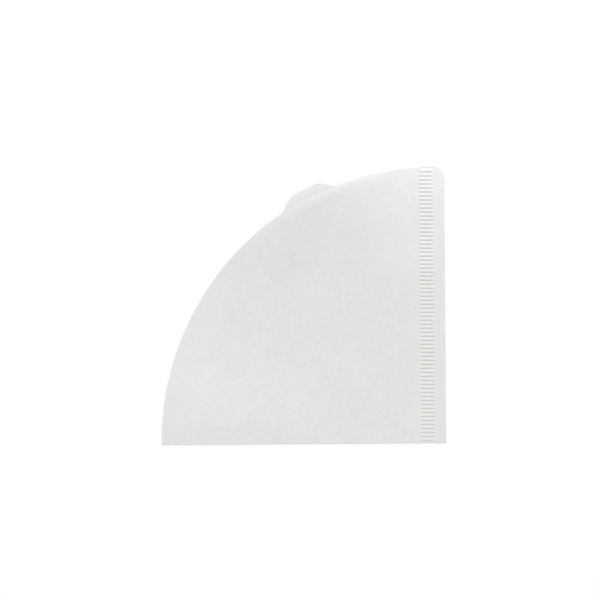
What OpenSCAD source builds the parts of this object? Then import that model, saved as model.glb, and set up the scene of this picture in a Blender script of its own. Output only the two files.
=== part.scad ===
// Cone-shaped paper coffee filter, made from one sheet and folded flat.
// Two quarter-round leaves lie on each other: a crease joins them along the bottom,
// a crimped seam presses them together up the right side, and the arc is the open mouth.
// The filter lies on its back leaf, with the origin under the middle of its bounding box.

/* [Sheet] */
// Thickness of the paper
paper_t = 0.2; // [0.12:0.01:0.3]
// Radius of the mouth's arc
mouth_r = 137.7; // [100:0.1:180]
// Distance of the arc's centre from the free edge of the seam
arc_inset_x = 4.6; // [0:0.1:8]
// Height of the arc's centre above the crease
arc_inset_y = 1.25; // [0:0.05:5]
// How far the mouth is trimmed back between the tab and the seam
mouth_trim = 0.85; // [0.2:0.05:3]
// Radius of the corner between the mouth and the seam
corner_r = 5; // [3:0.5:10]
// Gap between the leaves at the middle of the mouth
mouth_gap = 2.5; // [1:0.1:3.5]
// Inner radius of the bend in the crease
crease_bend_r = 0.05; // [0.02:0.01:0.15]

/* [Crimped seam] */
// Width of the crimped band
crimp_w = 9.1; // [7:0.1:12]
// Width of the plain margin outside the band
margin_w = 4.45; // [3:0.05:9]
// Distance from one ridge to the next, before they are spread evenly
crimp_pitch = 2; // [1.7:0.1:4]
// Depth of the teeth that press the ridges into the paper
crimp_h = 0.35; // [0.15:0.05:0.4]
// Width of a crimping tooth at its foot
tooth_foot_w = 1.7; // [1.2:0.05:2]
// Width of a tooth at its crown
tooth_crown_w = 0.3; // [0.1:0.05:0.6]
// Length over which a tooth fades out at each end
tooth_fade = 1.8; // [0.8:0.1:3]
// Height of the first ridge above the crease
crimp_first = 1.7; // [1.2:0.05:4]
// Distance of the last ridge from the mouth
crimp_last = 1.7; // [1.2:0.05:4]

/* [Tab] */
// Width of the tab where it leaves the arc
tab_w = 27.6; // [22:0.1:36]
// Height of the tab above the arc
tab_h = 4.45; // [3.5:0.05:6]
// Radius of the tab's shoulders
tab_r = 10; // [4:0.5:12]
// Slope of the tab's sides, in degrees
tab_slope = 45; // [35:1:60]
// Radius of the hollows at the tab's foot
tab_foot_r = 3; // [1:0.5:5]
// Angle from the crease to the middle of the tab, in degrees
tab_angle = 62.25; // [40:0.25:70]

/* [Hidden] */
$fn = 128;

// The crease runs along X and the seam along Y, from the sheet's lower right corner.
overrun = 1;
arc_centre = [-arc_inset_x, arc_inset_y];
seam_w = crimp_w + margin_w;
seam_mouth_r = mouth_r - mouth_trim;
crease_r = paper_t + crease_bend_r;
crease_end = -arc_inset_x - sqrt(pow(mouth_r, 2) - pow(arc_inset_y, 2));
crease_len = -crease_end;

// Corner between the mouth and the free edge of the seam
corner_reach = seam_mouth_r - corner_r;
corner_centre = [-corner_r, arc_inset_y + sqrt(pow(corner_reach, 2) - pow(corner_r - arc_inset_x, 2))];
corner_lean = atan2(corner_centre.y - arc_inset_y, corner_centre.x + arc_inset_x);
corner_top = corner_lean > 90 ? corner_centre.y + corner_r : arc_inset_y + seam_mouth_r;

// Tab, along the chord of the arc that it stands on
tab_half = tab_w / 2;
tab_foot_lean = asin(tab_half / mouth_r);
tab_foot_drop = mouth_r * (1 - cos(tab_foot_lean));
tab_root_y = -tab_foot_drop - mouth_trim - overrun;
tab_shoulder_drop = tab_r * (1 - cos(tab_slope));
tab_side_rise = tab_h + tab_foot_drop - tab_shoulder_drop;
tab_side_x = tab_half - tab_side_rise / tan(tab_slope);
tab_shoulder_x = tab_side_x - tab_r * sin(tab_slope);
tab_side_top = [tab_side_x, tab_h - tab_shoulder_drop];
tab_side_dir = [cos(tab_slope), -sin(tab_slope)];

// Ease of the trimmed stretch of the mouth, under the tab
ease_steps = 12;
ease_from = tab_angle - tab_foot_lean;
ease_to = tab_angle + tab_foot_lean;

// The front leaf lies on a shallow cone whose tip is the tip of the pocket.
// The cone runs through the crease, the seam and a line that rises to the middle of the mouth.
leaf_half_angle = 45;
press_share = 0.25;
leaf_press = paper_t * press_share;
tip = [-seam_w, 0];
tip_from_centre = tip - arc_centre;
bow_dir = [-cos(leaf_half_angle), sin(leaf_half_angle)];
bow_along = -tip_from_centre * bow_dir;
bow_reach = bow_along + sqrt(pow(bow_along, 2) + pow(mouth_r, 2) - tip_from_centre * tip_from_centre);
bow_rise = atan((mouth_gap + leaf_press) / bow_reach);
bow_tilt = atan(sin(bow_rise) / (cos(bow_rise) - cos(leaf_half_angle)));
cone_half_angle = acos(cos(leaf_half_angle) * sin(bow_tilt));
cone_slant = mouth_r + seam_w;
cone_h = cone_slant * cos(cone_half_angle);
cone_r = cone_slant * sin(cone_half_angle);
stack_h = 2 * paper_t + mouth_gap + overrun;

// Ridges of the crimp, pressed by teeth whose rings rise and narrow from the foot to the crown
seam_t = 2 * paper_t;
tooth_rise_shares = [0, 0.75, 1];
tooth_narrow_shares = [0, 0.5, 1];
crimp_top = arc_inset_y + sqrt(pow(seam_mouth_r, 2) - pow(seam_w - arc_inset_x, 2));
crimp_run = crimp_top - crimp_last - crimp_first;
ridge_gaps = round(crimp_run / crimp_pitch);
ridge_step = crimp_run / ridge_gaps;

// Middle of the bounding box
box_x = -(arc_inset_x + mouth_r) / 2;
box_y = (corner_top - crease_r) / 2;

// Point of the arc's frame, at an angle measured from the crease
function on_arc(r, angle) = [-r * cos(angle), r * sin(angle)];

// Point where the tab's sloping side comes down to an arc of radius r
function tab_foot(r) =
    let (from_centre = tab_side_top + [0, mouth_r], along = from_centre * tab_side_dir)
    tab_side_top - tab_side_dir * (along + sqrt(pow(along, 2) - from_centre * from_centre + pow(r, 2)));

// Smooth step from 0 to 1
function ease(share) = (1 - cos(180 * share)) / 2;

// Half-plane pieces of the sheet's square outline, left or right of a line along Y
module strip(from_x, to_x) {
    translate([from_x, 0]) square([to_x - from_x, mouth_r + arc_inset_y + overrun]);
}

// Round mouth, whose trimmed stretch eases in under the tab
module mouth_disc() {
    eased = [for (i = [0:ease_steps]) let (share = i / ease_steps)
        on_arc(mouth_r - mouth_trim * ease(share), ease_from + (ease_to - ease_from) * share)];
    full_corner = (mouth_r + overrun) / cos(ease_from / 2);
    translate(arc_centre) {
        circle(seam_mouth_r);
        polygon(concat([[0, 0]], eased));
        intersection() {
            circle(mouth_r);
            polygon([
                [0, 0],
                on_arc(full_corner, ease_from),
                on_arc(full_corner, ease_from / 2),
                on_arc(full_corner, 0),
                [-full_corner, -mouth_r],
                [0, -mouth_r]
            ]);
        }
    }
}

// What the round corner takes off the square one
module corner_waste() {
    to_mouth = corner_r * [cos(corner_lean), sin(corner_lean)];
    to_edge = [corner_r, 0];
    translate(corner_centre) difference() {
        polygon([[0, 0], 2 * to_edge, 2 * (to_edge + to_mouth), 2 * to_mouth]);
        circle(corner_r);
    }
}

// Outline of both leaves and the seam
module leaf_outline() {
    difference() {
        intersection() {
            mouth_disc();
            strip(-arc_inset_x - mouth_r - overrun, 0);
        }
        corner_waste();
    }
}

// Hollow where the tab's side runs out into an arc of radius r
module tab_foot_hollow(r) {
    foot = tab_foot(r);
    lean = asin(foot.x / r);
    arc_dir = [cos(lean), -sin(lean)];
    arc_normal = [sin(lean), cos(lean)];
    side_normal = [sin(tab_slope), cos(tab_slope)];
    run = tab_foot_r * tan((tab_slope - lean) / 2);
    arc_end = foot + run * arc_dir;
    side_end = foot - run * tab_side_dir;
    centre = arc_end + tab_foot_r * arc_normal;
    difference() {
        polygon([
            foot - overrun * (arc_normal + side_normal),
            arc_end - overrun * arc_normal,
            centre,
            side_end - overrun * side_normal
        ]);
        translate(centre) circle(tab_foot_r);
    }
}

// Half of the tab, beside an arc of radius r
module tab_half_outline(r) {
    foot = tab_foot(r);
    polygon([[0, tab_root_y], [foot.x, tab_root_y], foot, tab_side_top, [tab_shoulder_x, tab_h], [0, tab_h]]);
    intersection() {
        translate([tab_shoulder_x, tab_h - tab_r]) circle(tab_r);
        translate([0, tab_root_y]) square([tab_side_x, tab_h - tab_root_y]);
    }
    tab_foot_hollow(r);
}

// Pull tab that stands on the arc of the back leaf, where the trimmed stretch begins
module tab_outline() {
    translate(arc_centre) rotate(90 - tab_angle) translate([0, mouth_r]) {
        tab_half_outline(seam_mouth_r);
        mirror([1, 0]) tab_half_outline(mouth_r);
    }
}

// Back leaf with its tab, flat on the table
module back_leaf() {
    linear_extrude(paper_t) {
        intersection() {
            leaf_outline();
            strip(crease_end - overrun, -seam_w);
        }
        tab_outline();
    }
}

// Solid under the cone that the front leaf lies on, with its tip at a given height
module bow_cone(tip_z) {
    translate([tip.x, tip.y, tip_z])
        rotate(180 - leaf_half_angle) rotate([0, -bow_tilt, 0]) translate([0, 0, -cone_h])
            cylinder(h = cone_h, r1 = cone_r, r2 = 0);
}

// Front leaf, bowed up a little at the mouth
module front_leaf() {
    intersection() {
        linear_extrude(stack_h) intersection() {
            leaf_outline();
            strip(crease_end - overrun, -seam_w);
        }
        difference() {
            bow_cone(2 * paper_t - leaf_press);
            bow_cone(paper_t - leaf_press);
        }
    }
}

// Round fold along the bottom, where the sheet turns back on itself
module crease() {
    translate([crease_end, 0, crease_r]) rotate([0, 90, 0]) cylinder(h = crease_len, r = crease_r);
}

// One tooth: a bar along X with sloping sides and ends, sunk below the face that it presses
module tooth() {
    rings = len(tooth_rise_shares);
    points = [for (i = [0:rings - 1], corner = [[-1, -1], [1, -1], [1, 1], [-1, 1]])
        let (narrow = tooth_narrow_shares[i])
        [
            corner.x * (crimp_w / 2 - tooth_fade * narrow),
            corner.y * (tooth_foot_w - (tooth_foot_w - tooth_crown_w) * narrow) / 2,
            -paper_t + (paper_t + crimp_h) * tooth_rise_shares[i]
        ]];
    sides = [for (i = [0:rings - 2], k = [0:3])
        [4 * i + k, 4 * i + 4 + k, 4 * i + 4 + (k + 1) % 4, 4 * i + (k + 1) % 4]];
    crown = 4 * (rings - 1);
    translate([-margin_w - crimp_w / 2, 0, 0])
        polyhedron(points, concat([[0, 1, 2, 3]], sides, [[crown + 3, crown + 2, crown + 1, crown]]));
}

// Row of teeth from the crease to the mouth, on a face at a given height
module tooth_row(face_z) {
    for (i = [0:ridge_gaps]) translate([0, crimp_first + i * ridge_step, face_z]) tooth();
}

// Both leaves pressed together, with ridges on the front and the hollows of the teeth on the back
module crimped_seam() {
    difference() {
        union() {
            linear_extrude(seam_t) intersection() {
                leaf_outline();
                strip(-seam_w, overrun);
            }
            tooth_row(seam_t);
        }
        tooth_row(0);
    }
}

module filter_sheet() {
    color("whitesmoke") translate([-box_x, -box_y, 0]) {
        back_leaf();
        front_leaf();
        crease();
        crimped_seam();
    }
}

filter_sheet();
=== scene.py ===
# %% [markdown]
# # A cone-shaped paper coffee filter, folded flat
# The real filter is a single sheet of bleached paper. It is folded once along the bottom, and
# toothed wheels press its two leaves together up the right side, so no glue is needed. The
# arc is the open mouth, and a small tab on the back leaf helps to open it. The lesson lays
# the cut out as a grid and folds it, makes the paper's finish, presses the crimp with Geometry
# Nodes, gives the paper its thickness, and lights it as in a plain studio.

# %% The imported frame
import math

import bpy
import numpy as np
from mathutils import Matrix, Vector


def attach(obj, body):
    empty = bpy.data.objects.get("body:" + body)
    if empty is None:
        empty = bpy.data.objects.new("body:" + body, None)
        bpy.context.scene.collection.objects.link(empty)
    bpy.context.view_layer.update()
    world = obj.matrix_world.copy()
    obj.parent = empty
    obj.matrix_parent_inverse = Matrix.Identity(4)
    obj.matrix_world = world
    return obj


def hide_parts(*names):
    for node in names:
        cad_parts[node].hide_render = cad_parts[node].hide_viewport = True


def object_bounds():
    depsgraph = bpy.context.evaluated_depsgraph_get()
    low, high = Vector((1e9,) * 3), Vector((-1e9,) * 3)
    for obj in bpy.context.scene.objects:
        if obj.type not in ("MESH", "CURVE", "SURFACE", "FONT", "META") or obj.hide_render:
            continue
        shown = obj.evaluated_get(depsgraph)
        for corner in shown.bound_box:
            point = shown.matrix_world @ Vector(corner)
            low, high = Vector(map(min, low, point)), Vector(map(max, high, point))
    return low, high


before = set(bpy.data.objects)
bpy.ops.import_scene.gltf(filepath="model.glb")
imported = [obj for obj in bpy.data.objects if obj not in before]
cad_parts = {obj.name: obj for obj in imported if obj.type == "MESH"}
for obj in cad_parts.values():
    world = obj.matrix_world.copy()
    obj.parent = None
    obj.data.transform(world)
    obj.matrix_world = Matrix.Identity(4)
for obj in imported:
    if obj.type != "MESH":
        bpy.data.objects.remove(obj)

cad_low, cad_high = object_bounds()
print("CAD nodes:", sorted(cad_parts), "box:", list(cad_low), list(cad_high))

# %% [markdown]
# ## The cut
# A paper maker cuts the sheet with a die, so its outline is exact: a large arc for the mouth, a
# rounded corner beside the seam, and a tab that runs out into the arc with small hollows. The
# outline could be drawn as a curve and filled, but a filled curve has no vertices inside to bend.
# Here every column of a grid ends on the outline, so one grid carries the cut and the folds.

# %% Sizes of the cut
MM = 0.001
paper_thickness = 0.2 * MM
mouth_radius = 137.7 * MM
mouth_trim = 0.85 * MM
arc_inset = 4.6 * MM
arc_raise = 1.25 * MM
corner_radius = 5.0 * MM
crease_outside = 0.25 * MM
crimp_width = 9.1 * MM
margin_width = 4.45 * MM

free_edge_x = cad_high.x
seam_x = free_edge_x - margin_width - crimp_width
crease_y = cad_low.y + crease_outside
arc_x = free_edge_x - arc_inset
arc_y = crease_y + arc_raise
seam_mouth_radius = mouth_radius - mouth_trim
corner_x = free_edge_x - corner_radius
corner_y = arc_y + math.sqrt((seam_mouth_radius - corner_radius) ** 2 - (corner_x - arc_x) ** 2)
print("pocket tip at", round(seam_x / MM, 2), round(crease_y / MM, 2), "mm")

# %% Tab on the mouth of the back leaf
tab_angle = 62.25
tab_width = 27.6 * MM
tab_height = 4.45 * MM
tab_shoulder = 10.0 * MM
tab_slope = math.radians(45)
tab_hollow = 0.5 * MM
settling_rounds = 8

tab_lean = math.degrees(math.asin(tab_width / 2 / mouth_radius))
foot_drop = mouth_radius * (1 - math.cos(math.radians(tab_lean)))
shoulder_drop = tab_shoulder * (1 - math.cos(tab_slope))
side_x = tab_width / 2 - (tab_height + foot_drop - shoulder_drop) / math.tan(tab_slope)
shoulder_x = side_x - tab_shoulder * math.sin(tab_slope)


def smooth(share):
    """Smooth step from 0 to 1."""
    share = np.clip(share, 0, 1)
    return share * share * (3 - 2 * share)


def mouth_radius_at(angle):
    """Radius of the mouth, which is trimmed between the tab and the seam."""
    return mouth_radius - mouth_trim * smooth((angle - tab_angle + tab_lean) / (2 * tab_lean))


def tab_top_at(along):
    """Height of the tab's outline over its chord."""
    along = abs(along)
    if along < shoulder_x:
        return tab_height
    if along < side_x:
        return tab_height - tab_shoulder + math.sqrt(tab_shoulder**2 - (along - shoulder_x) ** 2)
    return tab_height - shoulder_drop - (along - side_x) * math.tan(tab_slope)


def tab_rise_at(angle):
    """How far the tab stands beyond the mouth, along the radius."""
    lean = math.radians(angle - tab_angle)
    if abs(lean) > math.radians(2 * tab_lean):
        return 0.0
    radius = mouth_radius
    for _ in range(settling_rounds):
        radius = (mouth_radius + tab_top_at(radius * math.sin(lean))) / math.cos(lean)
    rise = radius - mouth_radius_at(angle)
    return (rise + math.hypot(rise, tab_hollow)) / 2


print("tab stands", round(tab_rise_at(tab_angle) / MM, 2), "mm over the mouth")

# %% [markdown]
# ## Rows and columns
# The crimp needs eight rows for each ridge, and the smooth leaves need far fewer. A single dense
# grid would waste most of its faces, so the columns in the crimped band are fine and all others
# keep every fourth row. Where a fine column meets a coarse one, a face simply has more corners.
# The lowest row lies close to the crease, so that the shading of the bend stays on the bend.

# %% Rows up the seam
first_ridge = 1.7 * MM
last_ridge_gap = 1.7 * MM
ridge_count = 68
rows_per_ridge = 8
coarse_step = 4
lowest_row = 0.08 * MM


def mouth_y(x):
    """Height of the mouth beside the seam, round corner included."""
    if x > corner_x:
        return corner_y + math.sqrt(max(corner_radius**2 - (x - corner_x) ** 2, 0))
    return arc_y + math.sqrt(seam_mouth_radius**2 - (x - arc_x) ** 2)


seam_length = mouth_y(seam_x) - crease_y
ridge_step = (seam_length - last_ridge_gap - first_ridge) / (ridge_count - 1)
last_ridge = first_ridge + (ridge_count - 1) * ridge_step
crease_rows = np.linspace(lowest_row, first_ridge, rows_per_ridge + 1)
crimp_rows = np.linspace(first_ridge, last_ridge, rows_per_ridge * (ridge_count - 1) + 1)[1:]
mouth_rows = np.linspace(last_ridge, seam_length, rows_per_ridge + 1)[1:]
fine_rows = np.concatenate([crease_rows, crimp_rows, mouth_rows])
coarse_rows = fine_rows[::coarse_step]
print(len(fine_rows), "fine rows, ridges", round(ridge_step / MM, 3), "mm apart")

# %% Columns across the sheet, close together at the tab and where the ridges fade
leaf_step = 1.8
tab_step = 0.4
tab_from, tab_to = 54, 69.6
pocket_columns = 10
margin_columns = 9

seam_angle = math.degrees(math.acos((arc_x - seam_x) / seam_mouth_radius))
leaf_angles = np.concatenate(
    [
        np.arange(0, tab_from, leaf_step),
        np.arange(tab_from, tab_to, tab_step),
        np.linspace(tab_to, seam_angle, pocket_columns + 1)[:-1],
    ]
)
fade_in = (-0.04, 0, 0.04, 0.08, 0.12, 0.16, 0.2)
full_height = (0.35, 0.5, 0.65)
fade_out = (0.76, 0.8, 0.84, 0.88, 0.92, 0.96, 1)
band_shares = np.concatenate([fade_in, full_height, fade_out])
margin_start = math.asin(1 - margin_width / corner_radius)
margin_turns = np.linspace(margin_start, math.pi / 2, margin_columns + 1)[1:]
print("columns:", len(leaf_angles), "leaf", len(band_shares), "crimp", len(margin_turns), "margin")

# %% [markdown]
# ## The fold
# Each column runs from the mouth of the front leaf down to the crease, round the bend and up to
# the mouth of the back leaf, the way the paper itself runs. Folding a flat grid with an armature
# or a simulation would also work, but the bend is so tight that it is surer to place its points.
# The folding press flattens the bend, so it is half an ellipse. Two attributes go along: how far
# a point belongs to the front leaf, and how far to the tab.

# %% Points of one column
fold_radius = 0.12 * MM
fold_depth = 0.07 * MM
half_turn, fold_step = 180, 30
fold_turns = np.radians(np.arange(0, half_turn + 1, fold_step))
back_z = paper_thickness / 2
front_z = back_z + 2 * fold_radius
points, front_shares, tab_shares = [], [], []


def add_column(front_xy, back_xy, on_tab):
    """Adds a column from the front mouth round the crease to the back mouth."""
    start = len(points)
    x = front_xy[0][0]
    bend = [
        (x, crease_y - fold_depth * math.sin(turn), back_z + fold_radius * (1 + math.cos(turn)))
        for turn in fold_turns
    ]
    points.extend((px, py, front_z) for px, py in front_xy[::-1])
    points.extend(bend)
    points.extend((px, py, back_z) for px, py in back_xy)
    front_shares.extend([1.0] * len(front_xy))
    front_shares.extend((1 + np.cos(fold_turns)) / 2)
    front_shares.extend([0.0] * len(back_xy))
    tab_shares.extend([0.0] * (len(front_xy) + len(bend)))
    tab_shares.extend(on_tab)
    return list(range(start, len(points)))


print("bend:", len(fold_turns), "points, leaves", round((front_z - back_z) / MM, 2), "mm apart")

# %% Columns of the leaves and of the seam
tab_reach_start, tab_reach_length = 0.9, 0.1
full_tab_rise = 1.0 * MM
corner_drop_start, corner_drop_length = 0.8, 0.2


def leaf_column(angle):
    """Column of both leaves, whose back end reaches out to the tab."""
    turn = math.radians(angle)
    outward = np.array([-math.cos(turn), math.sin(turn)])
    mouth = np.array([arc_x, arc_y]) + mouth_radius_at(angle) * outward
    shares = coarse_rows / seam_length
    front_y = crease_y + shares * (mouth[1] - crease_y)
    front = np.stack([np.full_like(shares, mouth[0]), front_y], axis=1)
    reach = smooth((shares - tab_reach_start) / tab_reach_length)
    rise = tab_rise_at(angle)
    back = front + np.outer(reach * rise, outward)
    return add_column(front, back, reach * min(rise / full_tab_rise, 1.0))


def seam_column(x, rows):
    """Column of the seam, whose rows close up under the round corner."""
    lowering = smooth((rows / seam_length - corner_drop_start) / corner_drop_length)
    drop = lowering * (mouth_y(x) - crease_y - seam_length)
    both = np.stack([np.full_like(rows, x), crease_y + rows + drop], axis=1)
    return add_column(both, both, np.zeros_like(rows))


columns = [leaf_column(angle) for angle in leaf_angles]
columns += [seam_column(seam_x + share * crimp_width, fine_rows) for share in band_shares]
margin_xs = [corner_x + corner_radius * math.sin(turn) for turn in margin_turns]
columns += [seam_column(x, coarse_rows) for x in margin_xs]
print(len(columns), "columns,", len(points), "points")

# %% Faces between the columns
faces = []


def rows_of(column):
    """Number of rows on each leaf of a column."""
    return (len(column) - len(fold_turns)) // 2


def join(left, right):
    """Faces between two columns, of which one may have more rows."""
    rows = min(rows_of(left), rows_of(right))
    coarse_length = 2 * rows + len(fold_turns)

    def stretch(column, i):
        """Points of a column from row i to the next coarse row."""
        if len(column) == coarse_length:
            return column[i : i + 2]
        fine = rows_of(column)
        if i < rows - 1:
            return column[coarse_step * i : coarse_step * i + coarse_step + 1]
        start = fine - rows + i
        if i < rows + len(fold_turns):
            return column[start : start + 2]
        start = fine + len(fold_turns) + coarse_step * (i - rows - len(fold_turns))
        return column[start : start + coarse_step + 1]

    for i in range(coarse_length - 1):
        faces.append(stretch(left, i) + stretch(right, i)[::-1])


for left, right in zip(columns, columns[1:]):
    join(left, right)
print(len(faces), "faces")

# %% The folded grid
sheet_mesh = bpy.data.meshes.new("filter_paper_sheet")
sheet_mesh.from_pydata(points, [], faces)
for name, values in (("front_leaf", front_shares), ("tab", tab_shares)):
    attribute = sheet_mesh.attributes.new(name, "FLOAT", "POINT")
    attribute.data.foreach_set("value", np.array(values, dtype=np.float32))
sheet_mesh.polygons.foreach_set("use_smooth", [True] * len(sheet_mesh.polygons))
sheet = bpy.data.objects.new("filter_paper_sheet", sheet_mesh)
bpy.context.scene.collection.objects.link(sheet)

# %% [markdown]
# ## The paper
# Filter paper is matt and a little warm, with long soft fibres and a fine crepe that keeps it off
# the cone. Its pulp settles unevenly, in drifts, clouds and small flocks, and a broad noise paints
# soft patches of shade over the whole sheet. An image of paper would tile and fix the scale, so
# layered noises make all of these at their real sizes. The hollows between the ridges of the crimp
# are painted darker, as shade, and are a little smoother. The middle of the crease is painted
# lighter to offset the shade on the bend, and the single layer of the tab is painted paler, as the
# light of the white table through it.

# %% Paper shader
paper = bpy.data.materials.new("bleached_filter_paper")
paper.use_nodes = True
nodes, links = paper.node_tree.nodes, paper.node_tree.links
shader = nodes["Principled BSDF"]
shader.inputs["Specular IOR Level"].default_value = 0.2
shader.inputs["Sheen Weight"].default_value = 0.08
shader.inputs["Sheen Roughness"].default_value = 0.6
print("paper shader:", shader.name)

# %% Fibres, pulp and broad painted shade as noises of a real size
place = nodes.new("ShaderNodeTexCoord").outputs["Object"]


def paper_noise(grain, detail, stretch=(1, 1, 1), turn=0.0, start=(0, 0, 0)):
    """Noise whose grains have a real size, drawn out, turned and shifted on the sheet."""
    mapping = nodes.new("ShaderNodeMapping")
    mapping.inputs["Location"].default_value = start
    mapping.inputs["Scale"].default_value = [1 / s for s in stretch]
    mapping.inputs["Rotation"].default_value[2] = math.radians(turn)
    links.new(place, mapping.inputs["Vector"])
    noise = nodes.new("ShaderNodeTexNoise")
    noise.inputs["Scale"].default_value = 1 / grain
    noise.inputs["Detail"].default_value = detail
    links.new(mapping.outputs["Vector"], noise.inputs["Vector"])
    return noise.outputs["Fac"]


# The broadest noise paints soft patches of shade over the whole sheet.
broad_painted_shade = paper_noise(grain=90 * MM, detail=0, start=(9.2, 12.8, 0.0))
drifts = paper_noise(grain=40 * MM, detail=1, start=(7.6, 0.9, 0.0))
clouds = paper_noise(grain=9 * MM, detail=3)
flocks = paper_noise(grain=2.4 * MM, detail=2)
long_fibres = paper_noise(grain=0.25 * MM, detail=2, stretch=(8, 1, 1), turn=20)
cross_fibres = paper_noise(grain=0.25 * MM, detail=2, stretch=(8, 1, 1), turn=-65)
crepe = paper_noise(grain=0.9 * MM, detail=2, stretch=(1, 2.5, 1))
print("paper noises:", sum(node.type == "TEX_NOISE" for node in nodes))

# %% Tone of the pulp and of the broad painted shade
noise_range = (0.3, 0.7)
broad_shade_range = (0.05, 0.77)


def feed(tree, socket, term):
    """Sets a socket to a number or a colour, or links a value to it."""
    if isinstance(term, (int, float, tuple)):
        socket.default_value = term
    else:
        tree.links.new(term, socket)


def math_node(tree, operation, *terms):
    """Result of a math node on its terms."""
    node = tree.nodes.new("ShaderNodeMath")
    node.operation = operation
    for socket, term in zip(node.inputs, terms):
        feed(tree, socket, term)
    return node.outputs["Value"]


def map_range(tree, value, start, goal, curve="LINEAR"):
    """Value moved from one range, given as its two ends, to another."""
    node = tree.nodes.new("ShaderNodeMapRange")
    node.interpolation_type = curve
    ends = ("From Min", "From Max", "To Min", "To Max")
    for name, term in zip(("Value", *ends), (value, *start, *goal)):
        feed(tree, node.inputs[name], term)
    return node.outputs["Result"]


def combine(operation, a, b):
    """Result of a math node of the paper."""
    return math_node(paper.node_tree, operation, a, b)


fibres = combine("MULTIPLY", combine("ADD", long_fibres, cross_fibres), 0.5)
tone_parts = (
    (drifts, noise_range, 0.0155),
    (clouds, noise_range, 0.008),
    (broad_painted_shade, broad_shade_range, 0.021),
    (flocks, noise_range, 0.014),
    (fibres, noise_range, 0.014),
)
tone = 0.0
for noise, usual_range, reach in tone_parts:
    tone = combine("ADD", tone, map_range(paper.node_tree, noise, usual_range, (-reach, reach)))
print("tone of", len(tone_parts), "noises")

# %% Colour of the paper, with painted shade and painted light
# Painted shade for the hollows between the ridges.
painted_hollow_shade = 0.065
# Painted light for the middle of the bend, where the crease lies in shade.
painted_crease_light = 0.4
tone_range = (-0.1, 0.1)
dark_paper = (0.70, 0.695, 0.68, 1)
light_paper = (0.90, 0.896, 0.88, 1)
# Painted light for the tab: paler, for the white table's light through its single layer.
tab_painted_light = (0.85, 0.85, 0.85, 1)


def on_sheet(name):
    """Attribute that the sheet carries."""
    node = nodes.new("ShaderNodeAttribute")
    node.attribute_name = name
    return node.outputs["Fac"]


def mixed(factor, a, b):
    """Colour that goes from a to b as the factor goes from 0 to 1."""
    node = nodes.new("ShaderNodeMix")
    node.data_type = "RGBA"
    for name, term in (("Factor", factor), ("A", a), ("B", b)):
        feed(paper.node_tree, node.inputs[name], term)
    return node.outputs["Result"]


in_crimp_hollows = on_sheet("pressed")
front_share = on_sheet("front_leaf")
round_bend = combine("MULTIPLY", front_share, combine("SUBTRACT", 1.0, front_share))
# The hollows between the ridges are painted darker, as shade.
tone = combine("SUBTRACT", tone, combine("MULTIPLY", in_crimp_hollows, painted_hollow_shade))
# The middle of the bend is painted lighter, to offset the shade on the crease.
tone = combine("ADD", tone, combine("MULTIPLY", round_bend, painted_crease_light))
tone_share = map_range(paper.node_tree, tone, tone_range, (0.0, 1.0))
# The tab is painted paler, as painted light from the white table through its single layer.
colour = mixed(on_sheet("tab"), mixed(tone_share, dark_paper, light_paper), tab_painted_light)
links.new(colour, shader.inputs["Base Color"])
print("paper from", dark_paper[:3], "to", light_paper[:3])

# %% Roughness and relief of the paper
roughness_range = (0.84, 0.96)
crimp_polish = 0.12
relief_strength = 0.5
relief_depth = 0.06 * MM
fibre_relief = 0.6

roughness = map_range(paper.node_tree, fibres, noise_range, roughness_range)
roughness = combine("SUBTRACT", roughness, combine("MULTIPLY", in_crimp_hollows, crimp_polish))
links.new(roughness, shader.inputs["Roughness"])
relief = nodes.new("ShaderNodeBump")
relief.inputs["Strength"].default_value = relief_strength
relief.inputs["Distance"].default_value = relief_depth
relief_height = combine("ADD", combine("MULTIPLY", fibres, fibre_relief), crepe)
links.new(relief_height, relief.inputs["Height"])
links.new(relief.outputs["Normal"], shader.inputs["Normal"])
print("paper nodes:", len(nodes))

# %% [markdown]
# ## Bow, cockle and crimp
# A folded filter springs open a little. Its front leaf rises towards the mouth, most of all near
# the seam, and curls down again at the lip. It bellies out just above the crease, cockles in soft
# waves, and stands off the paper beside the crimp, where the wheels let go. The 68 ridges all
# follow one rule, so a Geometry Nodes tree raises the flat fold. Sculpting or a displaced texture
# could do it too, but here each size is an input with a name.

# %% A tree with named sizes
ridge_inset = 0.3 * MM
form_sizes = {
    "Tip X": seam_x,
    "Crease Y": crease_y,
    "Arc X": arc_x,
    "Arc Y": arc_y,
    "Mouth Radius": mouth_radius,
    "Mouth Gap": 2.3 * MM,
    "Bow Length": 44 * MM,
    "Bow Lean": 2.8,
    "Bow Sharpness": 1.5,
    "Lip Width": 5 * MM,
    "Lip Share": 0.36,
    "Lip Sharpness": 2.0,
    "Lip Start": 0.42,
    "Lip Full": 0.65,
    "Belly Height": 0.15 * MM,
    "Belly Top": 12 * MM,
    "Belly End": 54 * MM,
    "Belly Start": 40 * MM,
    "Belly Full": 100 * MM,
    "Held Width": 26 * MM,
    "Cockle Length": 38 * MM,
    "Cockle Height": 0.65 * MM,
    "Cockle Place": 1.95,
    "Pucker Length": 5 * MM,
    "Pucker Stretch": 0.15,
    "Pucker Height": 0.10 * MM,
    "Pucker Start": 3 * MM,
    "Pucker Reach": 13 * MM,
    "Seam Puff": 0.12 * MM,
    "Puff Start": 6 * MM,
    "Crimp Width": crimp_width - ridge_inset,
    "Ridge Height": 0.225 * MM,
    "Ridge Sharpness": 1.6,
    "Low Ridge Share": 0.7,
    "Ridge Fade": 1.8 * MM,
    "First Ridge": first_ridge,
    "Ridge Step": ridge_step,
    "Ridge Count": ridge_count,
    "Last Ridge Ease": 0.4,
    "Seam Length": seam_length,
    "Uneven Start": 0.3 * MM,
    "Uneven End": 0.7 * MM,
    "Hollows Start": 0.5,
    "Hollows Full": 0.9,
}
form = bpy.data.node_groups.new("fold_and_crimp", "GeometryNodeTree")
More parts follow.
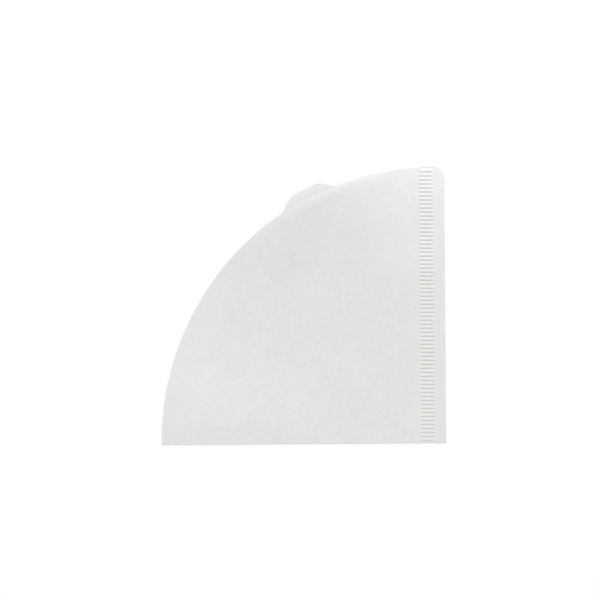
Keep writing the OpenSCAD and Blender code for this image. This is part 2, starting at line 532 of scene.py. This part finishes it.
for in_out in ("INPUT", "OUTPUT"):
    form.interface.new_socket("Geometry", in_out=in_out, socket_type="NodeSocketGeometry")
for name in form_sizes:
    form.interface.new_socket(name, in_out="INPUT", socket_type="NodeSocketFloat")
entry = form.nodes.new("NodeGroupInput")
size = entry.outputs
print("tree inputs:", list(form_sizes))

# %% Place of a point on the sheet
def calc(operation, *terms):
    """Result of a math node of the tree."""
    return math_node(form, operation, *terms)


def rise_over(value, start, end):
    """Smooth step of a value from 0 at start to 1 at end."""
    return map_range(form, value, (start, end), (0.0, 1.0), "SMOOTHSTEP")


def point_at(x, y, z):
    """Vector of the tree from three values."""
    node = form.nodes.new("ShaderNodeCombineXYZ")
    for socket, term in zip(node.inputs, (x, y, z)):
        feed(form, socket, term)
    return node.outputs["Vector"]


def length_of(vector):
    """Length of a vector of the tree."""
    node = form.nodes.new("ShaderNodeVectorMath")
    node.operation = "LENGTH"
    form.links.new(vector, node.inputs[0])
    return node.outputs["Value"]


front_leaf = form.nodes.new("GeometryNodeInputNamedAttribute")
front_leaf.data_type = "FLOAT"
front_leaf.inputs["Name"].default_value = "front_leaf"
on_front = front_leaf.outputs["Attribute"]
position = form.nodes.new("GeometryNodeInputPosition").outputs["Position"]
split = form.nodes.new("ShaderNodeSeparateXYZ")
form.links.new(position, split.inputs["Vector"])
x, y = split.outputs["X"], split.outputs["Y"]
left_of_tip = calc("MAXIMUM", calc("SUBTRACT", size["Tip X"], x), 0.0)
above_crease = calc("MAXIMUM", calc("SUBTRACT", y, size["Crease Y"]), 0.0)
turn_share = calc("DIVIDE", calc("ARCTAN2", above_crease, left_of_tip), math.pi / 2)
from_arc = point_at(calc("SUBTRACT", x, size["Arc X"]), calc("SUBTRACT", y, size["Arc Y"]), 0.0)
inside_mouth = calc("SUBTRACT", size["Mouth Radius"], length_of(from_arc))
print("place nodes:", len(form.nodes))

# %% Bow of the front leaf, the lip that curls down at its mouth, and its belly
leaning = calc("MULTIPLY", calc("POWER", turn_share, size["Bow Lean"]), math.pi)
swell = calc("POWER", calc("SINE", leaning), size["Bow Sharpness"])
bow = calc("MULTIPLY", swell, rise_over(inside_mouth, size["Bow Length"], 0.0))
bow = calc("MULTIPLY", bow, size["Mouth Gap"])
lip_depth = calc("DIVIDE", inside_mouth, size["Lip Width"])
into_lip = calc("MAXIMUM", calc("SUBTRACT", 1.0, lip_depth), 0.0)
lip_side = rise_over(turn_share, size["Lip Start"], size["Lip Full"])
lip = calc("MULTIPLY", calc("POWER", into_lip, size["Lip Sharpness"]), lip_side)
lipped_bow = calc("MULTIPLY", bow, calc("SUBTRACT", 1.0, calc("MULTIPLY", lip, size["Lip Share"])))
belly_up = rise_over(above_crease, 0.0, size["Belly Top"])
belly_down = rise_over(above_crease, size["Belly End"], size["Belly Top"])
belly_side = rise_over(left_of_tip, size["Belly Start"], size["Belly Full"])
belly = calc("MULTIPLY", calc("MULTIPLY", belly_up, belly_down), belly_side)
belly = calc("MULTIPLY", belly, size["Belly Height"])
print("bow nodes:", len(form.nodes))

# %% Cockle of the front leaf and pucker beside the crimp
noise_middle = 0.5


def ripple(vector, length):
    """Noise around zero with waves of a given length."""
    node = form.nodes.new("ShaderNodeTexNoise")
    node.inputs["Detail"].default_value = 1.0
    form.links.new(vector, node.inputs["Vector"])
    form.links.new(calc("DIVIDE", 1.0, length), node.inputs["Scale"])
    return calc("SUBTRACT", node.outputs["Fac"], noise_middle)


held = calc("MINIMUM", left_of_tip, above_crease)
cockle_place = point_at(x, y, size["Cockle Place"])
cockle = calc("MULTIPLY", ripple(cockle_place, size["Cockle Length"]), size["Cockle Height"])
cockle = calc("MULTIPLY", cockle, rise_over(held, 0.0, size["Held Width"]))
near_seam = rise_over(left_of_tip, size["Pucker Reach"], 0.0)
pucker_place = point_at(calc("MULTIPLY", x, size["Pucker Stretch"]), y, 0.0)
pucker = calc("MULTIPLY", ripple(pucker_place, size["Pucker Length"]), size["Pucker Height"])
pucker = calc("MULTIPLY", pucker, rise_over(left_of_tip, 0.0, size["Pucker Start"]))
puff = calc("MULTIPLY", size["Seam Puff"], rise_over(above_crease, 0.0, size["Puff Start"]))
beside_seam = calc("MULTIPLY", calc("ADD", pucker, puff), near_seam)
print("cockle nodes:", len(form.nodes))

# %% Ridges of the crimp, counted up from the first
half_ridge = 0.5
up_from_first = calc("SUBTRACT", calc("SUBTRACT", y, size["Crease Y"]), size["First Ridge"])
even_phase = calc("DIVIDE", up_from_first, size["Ridge Step"])
last_phase = calc("SUBTRACT", size["Ridge Count"], 1.0)
past_last = calc("MAXIMUM", calc("SUBTRACT", even_phase, last_phase), 0.0)
ridge_phase = calc("SUBTRACT", even_phase, calc("MULTIPLY", past_last, size["Last Ridge Ease"]))
ridge_number = calc("ROUND", ridge_phase)
across_ridge = calc("SUBTRACT", ridge_phase, ridge_number)
ridge = calc("COSINE", calc("MULTIPLY", across_ridge, math.pi))
ridge = calc("POWER", ridge, size["Ridge Sharpness"])
in_row = calc(
    "MULTIPLY",
    calc("GREATER_THAN", ridge_phase, -half_ridge),
    calc("LESS_THAN", ridge_phase, calc("ADD", last_phase, half_ridge)),
)
print("ridge nodes:", len(form.nodes))

# %% Uneven ends of the ridges
ridge_seed = 7
uneven = form.nodes.new("FunctionNodeRandomValue")
uneven.data_type = "FLOAT"
uneven.inputs["Seed"].default_value = ridge_seed
form.links.new(ridge_number, uneven.inputs["ID"])
random_end = [socket for socket in uneven.outputs if socket.enabled][0]
band_start = calc("SUBTRACT", size["Tip X"], calc("MULTIPLY", random_end, size["Uneven Start"]))
band_end = calc("ADD", size["Tip X"], size["Crimp Width"])
band_end = calc("SUBTRACT", band_end, calc("MULTIPLY", random_end, size["Uneven End"]))
band = calc(
    "MULTIPLY",
    rise_over(calc("SUBTRACT", x, band_start), 0.0, size["Ridge Fade"]),
    rise_over(calc("SUBTRACT", band_end, x), 0.0, size["Ridge Fade"]),
)
band = calc("MULTIPLY", band, in_row)
print("ridge end nodes:", len(form.nodes))

# %% Height of the ridges, and the hollows between them that take painted shade
hollow_start = -0.4
up_seam = calc("DIVIDE", above_crease, size["Seam Length"])
high_ridge_share = calc("SUBTRACT", 1.0, size["Low Ridge Share"])
growth = calc("ADD", size["Low Ridge Share"], calc("MULTIPLY", high_ridge_share, up_seam))
ridge_lift = calc("MULTIPLY", calc("MULTIPLY", ridge, band), size["Ridge Height"])
ridge_lift = calc("MULTIPLY", ridge_lift, growth)
between_ridges = calc(
    "MULTIPLY",
    calc("GREATER_THAN", ridge_phase, hollow_start),
    calc("LESS_THAN", ridge_phase, last_phase),
)
# The hollows well inside the band form the mask that the paper darkens as painted shade and makes
# smoother.
hollow = calc("MULTIPLY", calc("SUBTRACT", 1.0, ridge), between_ridges)
well_inside = rise_over(band, size["Hollows Start"], size["Hollows Full"])
band_hollows = calc("MULTIPLY", hollow, well_inside)
beside_seam = calc("MULTIPLY", beside_seam, calc("SUBTRACT", 1.0, band))
leaf_lift = calc("ADD", calc("ADD", lipped_bow, belly), calc("ADD", cockle, beside_seam))
leaf_lift = calc("MULTIPLY", calc("MAXIMUM", leaf_lift, 0.0), on_front)
print("crimp nodes:", len(form.nodes))

# %% End of the tree
lift = form.nodes.new("GeometryNodeSetPosition")
form.links.new(entry.outputs["Geometry"], lift.inputs["Geometry"])
form.links.new(point_at(0.0, 0.0, calc("ADD", leaf_lift, ridge_lift)), lift.inputs["Offset"])
# The mask of the hollows is stored on the sheet for the paper's painted shade and lower roughness.
keep_mask = form.nodes.new("GeometryNodeStoreNamedAttribute")
keep_mask.data_type = "FLOAT"
keep_mask.domain = "POINT"
keep_mask.inputs["Name"].default_value = "pressed"
form.links.new(lift.outputs["Geometry"], keep_mask.inputs["Geometry"])
form.links.new(band_hollows, keep_mask.inputs["Value"])
realize = form.nodes.new("GeometryNodeRealizeInstances")
form.links.new(keep_mask.outputs["Geometry"], realize.inputs["Geometry"])
coat = form.nodes.new("GeometryNodeSetMaterial")
coat.inputs["Material"].default_value = paper
form.links.new(realize.outputs["Geometry"], coat.inputs["Geometry"])
leave = form.nodes.new("NodeGroupOutput")
form.links.new(coat.outputs["Geometry"], leave.inputs["Geometry"])
print("tree nodes:", len(form.nodes), "links:", len(form.links))

# %% [markdown]
# ## Thickness
# The grid so far is the middle of the paper. Extruding it straight up would thin the wall on every
# slope, so Solidify grows it by half the thickness to each side and closes the cut edges, which
# keeps the wall even over the ridges. A vertex group makes the wall half as thick round the crease,
# where the folding press squeezes it. The result is taken as a plain mesh, so nothing is left to
# evaluate, and the cut edges stay sharp.

# %% Wall that is squeezed along the crease
crease_squeeze = 0.5
wall_shares = sheet.vertex_groups.new(name="wall_share")
for i, share in enumerate(front_shares):
    # 4 * share * (1 - share) is 1 in the middle of the bend and 0 on both leaves.
    wall_shares.add([i], 1 - crease_squeeze * 4 * share * (1 - share), "REPLACE")
print("wall at the crease:", (1 - crease_squeeze) * paper_thickness / MM, "mm")

# %% Form and thickness, taken as one mesh
sharp_angle = math.radians(60)
press = sheet.modifiers.new("fold_and_crimp", "NODES")
press.node_group = form
for item in form.interface.items_tree:
    if item.in_out == "INPUT" and item.name in form_sizes:
        press[item.identifier] = float(form_sizes[item.name])
wall = sheet.modifiers.new("paper_thickness", "SOLIDIFY")
wall.thickness = paper_thickness
wall.offset = 0.0
wall.vertex_group = wall_shares.name
evaluated = sheet.evaluated_get(bpy.context.evaluated_depsgraph_get())
formed = bpy.data.meshes.new_from_object(evaluated)
sheet.modifiers.clear()
sheet.data = formed
sheet.vertex_groups.clear()
formed.set_sharp_from_angle(angle=sharp_angle)
formed.calc_loop_triangles()
print("sheet:", len(formed.loop_triangles), "triangles,", [m.name for m in formed.materials])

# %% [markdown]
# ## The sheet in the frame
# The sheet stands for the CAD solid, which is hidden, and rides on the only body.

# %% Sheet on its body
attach(sheet, "root")
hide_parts("filter_sheet")

# %% [markdown]
# ## Table and light
# The photo has a white table that runs out of the picture. More light would turn the table white,
# but it would bleach the paper too. So the table is a plain white floor that takes the soft shadow,
# lifted to white only for the rays that look at it. A broad lamp far off at the top right draws the
# ridges and the bow, a very small one brightens the corner beside the seam, and a pale sky fills
# the rest at a plain level.

# %% Table under the sheet
table_half = 3.0
table_z = -0.05 * MM
table_corners = [(-1, -1), (1, -1), (1, 1), (-1, 1)]
table_points = [(table_half * right, table_half * up, table_z) for right, up in table_corners]
table_mesh = bpy.data.meshes.new("white_table")
table_mesh.from_pydata(table_points, [], [(0, 1, 2, 3)])
table = bpy.data.objects.new("white_table", table_mesh)
bpy.context.scene.collection.objects.link(table)
print("table", 2 * table_half, "metres wide")

# %% White of the table
table_albedo = 0.85
seen_albedo = 0.25
seen_glow = 0.77


def seen_rays(tree):
    """1 for the rays that look at a surface, straight, in gloss or through glass."""
    path = tree.nodes.new("ShaderNodeLightPath")
    total = path.outputs["Is Camera Ray"]
    for name in ("Is Glossy Ray", "Is Transmission Ray"):
        total = math_node(tree, "MAXIMUM", total, path.outputs[name])
    return total


table_white = bpy.data.materials.new("white_table")
table_white.use_nodes = True
table_mesh.materials.append(table_white)
table_tree = table_white.node_tree
table_shader = table_tree.nodes["Principled BSDF"]
table_shader.inputs["Roughness"].default_value = 1.0
table_shader.inputs["Specular IOR Level"].default_value = 0.0
table_shader.inputs["Emission Color"].default_value = (1, 1, 1, 1)
seen = seen_rays(table_tree)
albedo = map_range(table_tree, seen, (0.0, 1.0), (table_albedo, seen_albedo))
glow = map_range(table_tree, seen, (0.0, 1.0), (0.0, seen_glow))
table_tree.links.new(albedo, table_shader.inputs["Base Color"])
table_tree.links.new(glow, table_shader.inputs["Emission Strength"])
print("table nodes:", len(table_tree.nodes))

# %% Sky and lamps
sky_level = 0.475
sky = bpy.data.worlds.new("pale_sky")
bpy.context.scene.world = sky
sky.use_nodes = True
sky_shader = sky.node_tree.nodes["Background"]
sky_shader.inputs["Color"].default_value = (1, 1, 1, 1)
sky_light = map_range(sky.node_tree, seen_rays(sky.node_tree), (0.0, 1.0), (sky_level, 1.0))
sky.node_tree.links.new(sky_light, sky_shader.inputs["Strength"])


def soft_lamp(name, stand_at, aim, width, power, colour=(1, 1, 1)):
    """Square soft lamp that looks at a point."""
    lamp = bpy.data.lights.new(name, "AREA")
    lamp.size = width
    lamp.energy = power
    lamp.color = colour
    stand = bpy.data.objects.new(name, lamp)
    stand.location = stand_at
    stand.rotation_euler = (Vector(aim) - Vector(stand_at)).to_track_quat("-Z", "Y").to_euler()
    stand.visible_camera = False
    bpy.context.scene.collection.objects.link(stand)


soft_lamp("top_lamp", stand_at=(3.1, 5.9, 4.4), aim=(0.0, 0.0, 0.0), width=3.4, power=585.0)
soft_lamp(
    "corner_lamp",
    stand_at=(0.07, 0.084, 0.034),
    aim=(0.06, 0.06, 0.0),
    width=0.02,
    power=0.0027,
    colour=(0.84, 0.92, 1.0),
)

# %% [markdown]
# ## Camera
# The photo looks straight down from far away and is turned by less than half a degree. A long lens
# one metre up gives the same view, and the turn is in the camera, so that the sheet stays square.

# %% Camera over the table
picture_width = 0.3005
picture_turn = math.radians(0.42)
camera_height = 1.0
camera_left, camera_up = 68.14 * MM, 70.69 * MM
sensor_width = 36
lens = bpy.data.cameras.new("table_camera")
lens.sensor_width = sensor_width
lens.lens = sensor_width * camera_height / picture_width
camera = bpy.data.objects.new("table_camera", lens)
camera.location = (arc_x - camera_left, arc_y + camera_up, camera_height)
camera.rotation_euler = (0, 0, -picture_turn)
bpy.context.scene.collection.objects.link(camera)
bpy.context.scene.camera = camera
bpy.context.scene.view_settings.view_transform = "Standard"
print("lens", round(lens.lens, 1), "mm")
